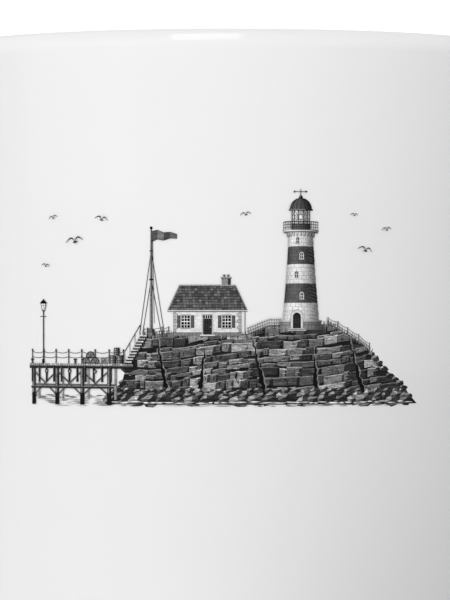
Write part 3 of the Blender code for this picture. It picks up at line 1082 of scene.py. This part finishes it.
cottage += bar(120, CHIMNEY_LEFT, CHIMNEY_FOOT, CHIMNEY_RIGHT, CHIMNEY_TOP)
for course in range(7):
    up = CHIMNEY_FOOT + BRICK_RISE * course
    cottage += bar(176, CHIMNEY_LEFT, up, CHIMNEY_RIGHT, up + 0.04)
    for k in range(4):
        x = CHIMNEY_LEFT + 0.12 + 0.34 * k - 0.17 * (course % 2)
        if CHIMNEY_LEFT < x < CHIMNEY_RIGHT - 0.05:
            cottage += bar(176, x, up, x + 0.04, up + BRICK_RISE)
cottage += bar(50, CHIMNEY_LEFT + 0.82, CHIMNEY_FOOT, CHIMNEY_RIGHT, CHIMNEY_TOP)
cap_left, cap_right = CHIMNEY_LEFT - 0.10, CHIMNEY_RIGHT + 0.10
cottage += layers(cap_left, cap_right, CHIMNEY_TOP, (148, -0.15, 0.04), (40, -0.20, -0.14))
for pot in (CHIMNEY_LEFT + 0.18, CHIMNEY_LEFT + 0.72):
    cottage += layers(pot, pot + 0.30, CHIMNEY_TOP, (92, 0.04, 0.32))
    cottage += layers(pot + 0.03, pot + 0.10, CHIMNEY_TOP, (164, 0.04, 0.32))
    cottage += layers(pot - 0.03, pot + 0.33, CHIMNEY_TOP, (20, 0.26, 0.34))

for row in range(SLATE_ROWS):
    shares = (row / SLATE_ROWS, (row + 1) / SLATE_ROWS)
    low, high = [ROOF_FOOT + (RIDGE - ROOF_FOOT) * share for share in shares]
    left_low, left_high = [ROOF_LEFT + HIP_RUN * share for share in shares]
    right_low, right_high = [ROOF_RIGHT - HIP_RUN * share for share in shares]
    cottage += shape(60, (left_low, low), (right_low, low), (right_high, high), (left_high, high))
    x = left_low + 0.05 + SLATE_STEP / 2 * (row % 2)
    while x < right_low - 0.45:
        tone = cottage_dice.uniform(66, 116)
        cottage += bar(tone, x, low + 0.06, x + SLATE_WIDTH, high)
        if cottage_dice.random() < 0.25:
            cottage += bar(tone + 44, x, high - 0.13, x + SLATE_WIDTH, high - 0.07)
        x += SLATE_STEP
    cottage += bar(24, left_low, low, right_low, low + 0.06)
ridge_left, ridge_right = ROOF_LEFT + HIP_RUN - 0.05, ROOF_RIGHT - HIP_RUN + 0.05
cottage += layers(ridge_left, ridge_right, RIDGE, (168, -0.06, 0.12), (46, -0.12, -0.04))
for k in range(12):
    joint = ridge_left + 0.40 + 0.62 * k
    cottage += bar(64, joint, RIDGE - 0.06, joint + 0.05, RIDGE + 0.12)
cottage += stroke(150, 0.14, (ROOF_LEFT, ROOF_FOOT), (ROOF_LEFT + HIP_RUN, RIDGE))
cottage += stroke(110, 0.14, (ROOF_RIGHT, ROOF_FOOT), (ROOF_RIGHT - HIP_RUN, RIDGE))
cottage += layers(ROOF_LEFT - 0.05, ROOF_RIGHT + 0.05, ROOF_FOOT, (214, -0.07, 0.07), (36, -0.13, -0.06))
cottage += bar(52, 3.02, COTTAGE_FOOT + 0.1, 3.12, EAVES - 0.2)

for k in range(PALE_COUNT):
    left = ROOF_RIGHT + PALE_STEP * k
    right = left + PALE_WIDTH
    foot = skyline(left) - 0.05
    top = foot + 0.95
    cottage += bars((206, left, foot, right, top), (64, right, foot, right + 0.05, top - 0.05))
    cottage += shape(206, (left, top), (right, top), (left + PALE_WIDTH / 2, top + 0.15))
    cottage += bar(58, left, foot - 0.04, left + 0.2, foot + 0.03)
for rail in (0.28, 0.68):
    for left, right in ((3.3, 6.2), (6.2, 7.9)):
        cottage += stroke(120, 0.09, (left, skyline(left) + rail), (right, skyline(right) + rail))
wall_ink = ink_material("wall_ink", (1.2, 1.2, 1.2), stroke_contrast=0.8, grit_contrast=0.6)
lay_film("print_cottage", cottage, 3, wall_ink)


# The lighthouse. A tapering stone tower in white and dark bands, shaded round from the left. It has a
# plinth, an arched door and stair windows. Corbels carry the gallery, the lantern, its dome and a vane.

TOWER_MIDDLE = 10.5
TOWER_FOOT = -3.9
TOWER_TOP = 8.5
TOWER_HALF_FOOT = 2.55
TOWER_HALF_TOP = 1.65
TOWER_STRIPS = 18
STRIP_EDGES = [math.sin(math.pi * (k / TOWER_STRIPS - 0.5)) for k in range(TOWER_STRIPS + 1)]
STRIPS = list(zip(STRIP_EDGES, STRIP_EDGES[1:]))
COURSE = 0.50
RING_BOW = 0.24
# foot and top of each band, and whether it is white
BANDS = ((-3.9, -0.7, True), (-0.7, 1.8, False), (1.8, 4.3, True), (4.3, 6.6, False), (6.6, 8.5, True))
# share of the half width, then the grey there on white paint and on dark
ROUND_SHADE = (
    (-1.0, 186, 60), (-0.8, 228, 86), (-0.5, 247, 104), (-0.1, 238, 92),
    (0.3, 208, 68), (0.65, 160, 46), (0.9, 122, 32), (1.0, 138, 38),
)
# share of the half width and foot of each stair window
STAIR_WINDOWS = ((0.05, -0.15), (-0.30, 2.6), (0.05, 5.0), (-0.25, 7.0))
CORBELS = 11
CORBEL_TOP = 8.52
# share of the grey, middle, foot, and half widths at foot and top of a corbel and of the lit strip on it
CORBEL_PARTS = ((0.42, 0.0, 7.92, 0.10, 0.20), (0.9, -0.03, 7.98, 0.04, 0.11))
PLINTH_HALF = 1.10 * TOWER_HALF_FOOT
PLINTH_FOOT = -4.25
LOW_JOINT = -3.62
HIGH_JOINT = -3.24
DOOR_MIDDLE = TOWER_MIDDLE - 0.55
LANTERN_HALF = 1.2
LANTERN_FOOT = 9.75
LANTERN_MIDDLE = 10.65
LANTERN_TOP = 11.55
LANTERN_BARS = (-1.0, -0.72, -0.28, 0.28, 0.72, 1.0)
LENS_HALF = 0.62
LENS_RISE = 0.78
DOME_HALF = 1.5
DOME_FOOT = 11.62
DOME_RISE = 1.55
VANE_UP = 14.0
GALLERY_HALF = 2.36
GALLERY_FOOT = 8.80
RAIL_UP = 9.92
RAIL_BOW = 0.16


def round_grey(share, white):
    for (first, *low), (second, *high) in zip(ROUND_SHADE, ROUND_SHADE[1:]):
        if first <= share <= second:
            part = (share - first) / (second - first)
            pick = 0 if white else 1
            return low[pick] + (high[pick] - low[pick]) * part
    return ROUND_SHADE[-1][1]


def bow(share, rise):
    """How far a level ring bows up at a share of its half width, because it is seen from below."""
    return rise * math.sqrt(max(1 - share * share, 0.0))


def tower_point(share, up):
    """A point on the tower, from -1 at its left edge to 1 at its right."""
    part = (TOWER_TOP - up) / (TOWER_TOP - TOWER_FOOT)
    half = TOWER_HALF_TOP + (TOWER_HALF_FOOT - TOWER_HALF_TOP) * max(part, 0.0) ** 1.3
    return (TOWER_MIDDLE + share * half, up + bow(share, RING_BOW * max(up + 2.0, 0.0) / 10.0))


def tower_cell(grey, left, right, foot, top):
    corners = ((left, foot), (right, foot), (right, top), (left, top))
    return shape(grey, *[tower_point(share, up) for share, up in corners])


def round_rings(rise, *rows):
    """Rings shaded as the white tower is, from rows of (half width, foot, top, share of the grey)."""
    forms = []
    for left, right in STRIPS:
        for half, foot, top, tone in rows:
            corners = ((left, foot), (right, foot), (right, top), (left, top))
            points = [(TOWER_MIDDLE + half * share, up + bow(share, rise)) for share, up in corners]
            forms += shape(round_grey((left + right) / 2, True) * tone, *points)
    return forms


def arch(grey, middle, foot, half, height):
    """An opening with a round head."""
    turns = [math.pi * k / 10 for k in range(11)]
    top = foot + height - half
    crown = [(middle + half * math.cos(a), top + half * math.sin(a)) for a in turns]
    return shape(grey, (middle - half, foot), (middle + half, foot), *crown)


def dome_line(share):
    """A line up the dome to its top, at a share of its half width."""
    turns = [math.pi / 2 * k / 8 for k in range(9)]
    half = DOME_HALF * share
    return [(TOWER_MIDDLE + half * math.cos(t), DOME_FOOT + DOME_RISE * math.sin(t)) for t in turns]


tower_dice = random.Random(2)
tower = []
for band_foot, band_top, white in BANDS:
    courses = round((band_top - band_foot) / COURSE)
    for course in range(courses):
        foot, top = [band_foot + (band_top - band_foot) * n / courses for n in (course, course + 1)]
        stone_tone = 0.0
        for k, (left, right) in enumerate(STRIPS):
            new_stone = (k + course) % 2 == 0
            if new_stone:
                stone_tone = tower_dice.uniform(-7, 5)
            grey = round_grey((left + right) / 2, white) + stone_tone
            tower += tower_cell(grey, left, right, foot, top)
            tower += tower_cell(grey * 0.80, left, right, foot, foot + 0.06)
            if new_stone and k > 0:
                tower += tower_cell(grey * 0.82, left, left + 0.03, foot, top)
for k in range(26):
    up = TOWER_FOOT + 0.8 + 0.44 * k
    for share, tone in ((0.55, 96), (0.70, 80)):
        start = tower_point(share + tower_dice.uniform(-0.05, 0.05), up)
        tower += stroke(tone, 0.05, start, tower_point(0.97, up - 0.35), tip=0.5)
plinth = (PLINTH_HALF, PLINTH_FOOT, -3.05, 0.62)
tower += round_rings(0.0, plinth, (1.13 * TOWER_HALF_FOOT, -3.20, -2.98, 0.86))
tower += posts(TOWER_MIDDLE, *[(62, PLINTH_HALF, up, up + 0.06) for up in (LOW_JOINT, HIGH_JOINT)])
for k in range(11):
    x = TOWER_MIDDLE - 2.6 + 0.5 * k
    foot, top = (PLINTH_FOOT, LOW_JOINT) if k % 2 else (LOW_JOINT, HIGH_JOINT)
    tower += bar(70, x, foot, x + 0.05, top)

for grey, half, height in ((120, 0.86, 2.66), (216, 0.80, 2.58), (34, 0.54, 2.24)):
    tower += arch(grey, DOOR_MIDDLE, -4.2, half, height)
for k in range(-1, 2):
    tower += posts(DOOR_MIDDLE + 0.24 * k, (84, 0.02, -4.1, -2.45))
for up in (-3.6, -2.7):
    tower += bar(12, DOOR_MIDDLE - 0.54, up, DOOR_MIDDLE + 0.36, up + 0.07)
for up, reach in ((-4.42, 1.25), (-4.22, 1.05)):
    tower += posts(DOOR_MIDDLE, (196, reach, up, up + 0.18), (66, reach, up, up + 0.06))
for share, foot in STAIR_WINDOWS:
    x, y = tower_point(share, foot)
    tower += arch(212, x, y - 0.08, 0.30, 0.96) + arch(24, x, y, 0.19, 0.78)
    tower += posts(x, (226, 0.03, y, y + 0.7), (226, 0.19, y + 0.34, y + 0.40))
    tower += posts(x, (150, 0.36, y - 0.16, y - 0.06))

for k in range(CORBELS):
    share = math.sin(math.pi * ((k + 0.5) / CORBELS - 0.5))
    x = TOWER_MIDDLE + 1.75 * share
    rise = bow(share, 0.20)
    for tone, middle, foot, half_foot, half_top in CORBEL_PARTS:
        grey = round_grey(share, True) * tone
        tower += taper(grey, x + middle, foot + rise, half_foot, CORBEL_TOP + rise, half_top)
tower += round_rings(0.22, (2.30, 8.42, 8.62, 0.5), (2.42, 8.60, 8.86, 0.96))

for left, right in STRIPS:
    middle = (left + right) / 2
    wall = (round_grey(middle, False), 1.3, 8.95, LANTERN_FOOT)
    pane = (150 + 84 * math.cos(1.6 * (middle + 0.45)) ** 2, LANTERN_HALF, LANTERN_FOOT, LANTERN_TOP)
    for grey, half, foot, top in (wall, pane):
        tower += bar(grey, TOWER_MIDDLE + half * left, foot, TOWER_MIDDLE + half * right, top)
tower += disc(120, TOWER_MIDDLE, LANTERN_MIDDLE, LENS_HALF, squash=1.25, sides=18)
for k in range(7):
    up = 10.02 + 0.21 * k
    reach = LENS_HALF * math.sqrt(max(1 - ((up - LANTERN_MIDDLE) / LENS_RISE) ** 2, 0.02))
    tower += bar(240, TOWER_MIDDLE - 0.92 * reach, up - 0.05, TOWER_MIDDLE + 0.75 * reach, up + 0.04)
tower += disc(252, TOWER_MIDDLE - 0.08, 10.68, 0.20, squash=1.2, sides=12)
lantern_spots = [TOWER_MIDDLE + LANTERN_HALF * share for share in LANTERN_BARS]
for x in lantern_spots:
    tower += posts(x, (36, 0.05, 9.70, 11.60))
for left, right in zip(lantern_spots, lantern_spots[1:]):
    for low, high in ((LANTERN_FOOT, LANTERN_MIDDLE), (LANTERN_MIDDLE, LANTERN_TOP)):
        tower += stroke(52, 0.05, (left, low), (right, high)) + stroke(52, 0.05, (left, high), (right, low))
tower += posts(TOWER_MIDDLE, (30, 1.3, 9.66, 9.80))

for left, right in STRIPS:
    dome_tone = round_grey((left + right) / 2, False) * 0.9
    tower += shape(dome_tone, *dome_line(left), *reversed(dome_line(right)[:-1]))
for share in (-0.75, -0.4, 0.0, 0.4, 0.75):
    tower += stroke(18, 0.07, *dome_line(share))
tower += posts(TOWER_MIDDLE, (28, 1.62, 11.48, 11.70))
tower += bar(170, TOWER_MIDDLE - 1.55, DOME_FOOT, TOWER_MIDDLE + 0.6, DOME_FOOT + 0.06)
tower += disc(26, TOWER_MIDDLE, 13.28, 0.24, sides=14) + disc(150, TOWER_MIDDLE - 0.08, 13.36, 0.08, sides=8)
tower += posts(TOWER_MIDDLE, (30, 0.05, 13.4, 14.35))
tower += stroke(30, 0.08, (TOWER_MIDDLE - 0.75, VANE_UP), (TOWER_MIDDLE + 0.75, VANE_UP))
for left in (TOWER_MIDDLE + 0.6, TOWER_MIDDLE - 0.95):
    tower += shape(26, (left, 13.83), (left + 0.35, VANE_UP), (left, 14.17))

for k in range(17):
    share = -1 + k / 8
    rise = bow(share, RAIL_BOW)
    tower += posts(TOWER_MIDDLE + 2.32 * share, (38, 0.035, GALLERY_FOOT + rise, RAIL_UP + rise))
for up, width in ((RAIL_UP, 0.11), (9.55, 0.06), (9.20, 0.06)):
    line = [(TOWER_MIDDLE + GALLERY_HALF * share, up + bow(share, RAIL_BOW)) for share in STRIP_EDGES]
    tower += stroke(34, width, *line)
lay_film("print_tower", tower, 4, wall_ink)


# The rail and the gulls. Posts with two ropes follow the edge of the head on both sides, and gulls wheel
# over the jetty and beyond the tower.

# across, up and span of each gull, and its lean in degrees
GULLS = (
    (-20.4, 7.4, 2.9, 8), (-16.4, 10.3, 2.1, -10), (-23.9, 10.6, 1.6, 14), (-25.2, 4.2, 1.5, -6),
    (19.6, 6.2, 2.3, -12), (22.9, 9.0, 1.6, 6), (3.2, 10.9, 1.6, 10), (18.0, 10.9, 1.2, -4),
)
# shares of the span, from the body's middle
GULL_BODY = ((-0.13, 0.02), (-0.05, -0.045), (0.09, -0.03), (0.16, 0.03), (0.05, 0.04), (-0.05, 0.045))
# where the rail's posts stand, left of the cottage and right of the tower
ROPE_RAILS = ((-10.4, -9.9, -7.9, -7.0), (14.2, 15.6, 17.0, 18.6, 20.2))
WING_STEPS = 10


def gull(across, up, span, lean):
    """Two bowed wings that thin out to dark tips, and a slight body."""
    c, s = math.cos(math.radians(lean)), math.sin(math.radians(lean))

    def placed(points):
        return [(across + x * c - y * s, up + x * s + y * c) for x, y in points]

    forms = []
    for reach in (-1.0, 0.88):
        upper, lower = [], []
        for k in range(WING_STEPS + 1):
            share = k / WING_STEPS
            lift = span * (0.20 * math.sin(math.pi * share**0.72) + 0.03 * share)
            thick = span * 0.062 * (1 - share) ** 0.5 + 0.05
            upper.append((share * reach * span / 2, lift + thick / 2))
            lower.append((share * reach * span / 2, lift - thick / 2))
        forms += shape(48, *placed(upper + lower[::-1])) + shape(10, *placed(upper[6:] + lower[:5:-1]))
    return forms + shape(34, *placed([(span * x, span * y) for x, y in GULL_BODY]))


sky = []
for gull_place in GULLS:
    sky += gull(*gull_place)
for run in ROPE_RAILS:
    feet = [(post, skyline(post) - 0.1) for post in run]
    for post, foot in feet:
        sky += lit_post(post, 0.07, foot, foot + 1.05, 48, 0.02, 150)
    for rope in (0.9, 0.5):
        for (first, start), (second, end) in zip(feet, feet[1:]):
            start, end = start + rope, end + rope
            sag = ((first + second) / 2, (start + end) / 2 - 0.12)
            sky += stroke(70, 0.06, (first, start), sag, (second, end))
lay_film("print_gulls", sky, 5, timber_ink)


# The studio. A white sweep under the mug, a bright room round it, two big soft boxes on the left, and a key
# box with a flared cloth that leans back over the mug and shows in the gloss of the lip. The sweep is pale,
# but painted shade in one round place on the right, seen by diffuse light only, dims the wall's foot.

SWEEP_RADIUS = 3.0
SWEEP_SIDES = 96
SWEEP_TONES = (0.87, 0.89)
SWEEP_ROUGHNESS = 0.6
SWEEP_MOTTLE = 9.0
PAINTED_SHADE_TURN = 66.0
PAINTED_SHADE_AWAY = 0.105
PAINTED_SHADE_FULL = 0.075
PAINTED_SHADE_REACH = 0.1
PAINTED_SHADE_TONE = 0.03
KEY_TURN = -44.9
KEY_RISE = 81.9
KEY_AWAY = 0.953
KEY_LEAN = (65.0, 9.2, 22.4)
KEY_GLOW = 2.1
KEY_FOOT = -0.57
KEY_FOOT_HALF = 0.113
KEY_HEAD = 0.455
KEY_HEAD_HALF = 0.178
KEY_HEAD_DIP = 0.147
KEY_HEAD_STEPS = 8
# name, turn, rise and watts of each soft box
SOFT_BOXES = (("left_box", -60.0, 25.0, 1.058), ("back_left_box", -115.0, 30.0, 0.126))
SOFT_AWAY = 1.2
SOFT_WIDTH = 1.2
SOFT_HEIGHT = 1.0
BACKDROP_WHITE = 1.1
ROOM_EVEN = 1.07
ROOM_SLOPE = (0.05, -0.56, 0.25)
ROOM_SQUARES = (-0.21, 0.0, -0.94)
ROOM_PRODUCTS = (-0.12, 0.69, -0.18)
ROOM_DARKEST = 0.03
PHOTO_HEIGHT = 600
AXIS_BESIDE_MIDDLE = 5
FOCAL_PIXELS = 4063
CAMERA_DISTANCE = 0.576
CAMERA_HEIGHT = 0.0591
SENSOR = 36.0


def toward(azimuth, elevation=0.0):
    """A direction. Azimuth is counted from the camera's side, in degrees, positive to the right."""
    around, above = math.radians(azimuth), math.radians(elevation)
    level = math.cos(above)
    return Vector((math.sin(around) * level, -math.cos(around) * level, math.sin(above)))


def from_cup(azimuth, elevation, distance):
    return Vector((0.0, 0.0, CUP_HEIGHT / 2)) + toward(azimuth, elevation) * distance


def stand_in_studio(name, data):
    thing = bpy.data.objects.new(name, data)
    bpy.context.scene.collection.objects.link(thing)
    return thing


def stage_sheet(name, points, material):
    """One flat face of the studio, which is no piece of the mug."""
    mesh = bpy.data.meshes.new(name)
    mesh.from_pydata(points, [], [tuple(range(len(points)))])
    mesh.materials.append(material)
    sheet = stand_in_studio(name, mesh)
    return sheet


def sweep_paint():
    """Pale matt paint with a round patch of painted shade, dark to diffuse light alone, so that it never
    shows.
    """
    material, tree, shader, place = new_material("sweep_paint")
    tones = dict(zip(("To Min", "To Max"), SWEEP_TONES))
    mottle = noise(tree, place, SWEEP_MOTTLE)["Fac"]
    tone = add_node(tree, "MapRange", {"Value": mottle, **tones}).outputs["Result"]
    # Painted shade: a round patch on the right of the mug is darkened for diffuse rays only, in place of
    # real shade.
    away = {0: place, 1: toward(PAINTED_SHADE_TURN) * PAINTED_SHADE_AWAY}
    away = add_node(tree, "VectorMath", away, operation="DISTANCE").outputs["Value"]
    painted_shade = ease(tree, away, PAINTED_SHADE_REACH, PAINTED_SHADE_FULL, 0.0, 1.0)
    diffuse = add_node(tree, "LightPath").outputs["Is Diffuse Ray"]
    tone = mix(tree, calculate(tree, "MULTIPLY", painted_shade, diffuse), tone, PAINTED_SHADE_TONE)
    feed(tree, shader, {"Base Color": tone, "Roughness": SWEEP_ROUGHNESS})
    return material


def key_outline():
    """The cloth's outline: it widens from its foot to its head, and the head's edge dips in the middle."""
    points = [(KEY_FOOT_HALF, KEY_FOOT, 0.0), (-KEY_FOOT_HALF, KEY_FOOT, 0.0)]
    for k in range(KEY_HEAD_STEPS + 1):
        share = 2 * k / KEY_HEAD_STEPS - 1
        points.append((KEY_HEAD_HALF * share, KEY_HEAD - KEY_HEAD_DIP * (1 - share**2), 0.0))
    return points


def key_cloth():
    """A cloth that glows on its front, and lets all other light through."""
    material, tree, shader, _ = new_material("key_cloth")
    tree.nodes.remove(shader)
    glow = add_node(tree, "Emission", {"Strength": KEY_GLOW}).outputs["Emission"]
    clear = add_node(tree, "BsdfTransparent").outputs["BSDF"]
    front = add_node(tree, "AddShader", {0: glow, 1: clear}).outputs["Shader"]
    back = add_node(tree, "NewGeometry").outputs["Backfacing"]
    cloth = add_node(tree, "MixShader", {"Fac": back, 1: front, 2: clear}).outputs["Shader"]
    feed(tree, tree.nodes["Material Output"], {"Surface": cloth})
    return material


sweep_turns = [2 * math.pi * k / SWEEP_SIDES for k in range(SWEEP_SIDES)]
sweep_edge = [(SWEEP_RADIUS * math.cos(a), SWEEP_RADIUS * math.sin(a), 0.0) for a in sweep_turns]
stage_sheet("white_sweep", sweep_edge, sweep_paint())

key_box = stage_sheet("key_box", key_outline(), key_cloth())
key_box.location = from_cup(KEY_TURN, KEY_RISE, KEY_AWAY)
key_box.rotation_euler = [math.radians(angle) for angle in KEY_LEAN]
key_box.visible_camera = False

for box_name, box_turn, box_rise, box_watts in SOFT_BOXES:
    lamp = bpy.data.lights.new(box_name, "AREA")
    lamp.shape = "RECTANGLE"
    lamp.size = SOFT_WIDTH
    lamp.size_y = SOFT_HEIGHT
    lamp.energy = box_watts
    soft_box = stand_in_studio(box_name, lamp)
    soft_box.location = from_cup(box_turn, box_rise, SOFT_AWAY)
    soft_box.rotation_euler = (-toward(box_turn, box_rise)).to_track_quat("-Z", "Y").to_euler()
    soft_box.visible_camera = False


def paint_room(room):
    """A room whose brightness is even, plus a slope, plus squares and products of the direction's parts."""
    way = add_node(room, "TexCoord").outputs["Generated"]
    parts = split(room, way)
    turned = {"X": parts["Y"], "Y": parts["Z"], "Z": parts["X"]}
    turned = add_node(room, "CombineXYZ", turned).outputs["Vector"]
    squares, products = [
        add_node(room, "VectorMath", {0: way, 1: other}, operation="MULTIPLY").outputs["Vector"]
        for other in (way, turned)
    ]
    light = ROOM_EVEN
    for vector, weights in ((way, ROOM_SLOPE), (squares, ROOM_SQUARES), (products, ROOM_PRODUCTS)):
        term = add_node(room, "VectorMath", {0: vector, 1: weights}, operation="DOT_PRODUCT")
        light = calculate(room, "ADD", term.outputs["Value"], light)
    white = (1.0, 1.0, 1.0, 1.0)
    light = calculate(room, "MAXIMUM", light, ROOM_DARKEST)
    feed(room, room.nodes["Background"], {"Color": white, "Strength": light})
    backdrop = add_node(room, "Background", {"Color": white, "Strength": BACKDROP_WHITE})
    sight = add_node(room, "LightPath").outputs["Is Camera Ray"]
    sides = {"Fac": sight, 1: room.nodes["Background"].outputs[0], 2: backdrop.outputs[0]}
    seen = add_node(room, "MixShader", sides).outputs["Shader"]
    feed(room, room.nodes["World Output"], {"Surface": seen})


world = bpy.data.worlds.new("white_room")
world.use_nodes = True
paint_room(world.node_tree)
bpy.context.scene.world = world
bpy.context.scene.view_settings.view_transform = "Standard"

lens = bpy.data.cameras.new("camera")
lens.sensor_width = SENSOR
lens.lens = FOCAL_PIXELS * SENSOR / PHOTO_HEIGHT
lens.clip_start = 0.01
camera = stand_in_studio("camera", lens)
camera.location = (-AXIS_BESIDE_MIDDLE * CAMERA_DISTANCE / FOCAL_PIXELS, -CAMERA_DISTANCE, CAMERA_HEIGHT)
camera.rotation_euler = (math.radians(90), 0.0, 0.0)
bpy.context.scene.camera = camera
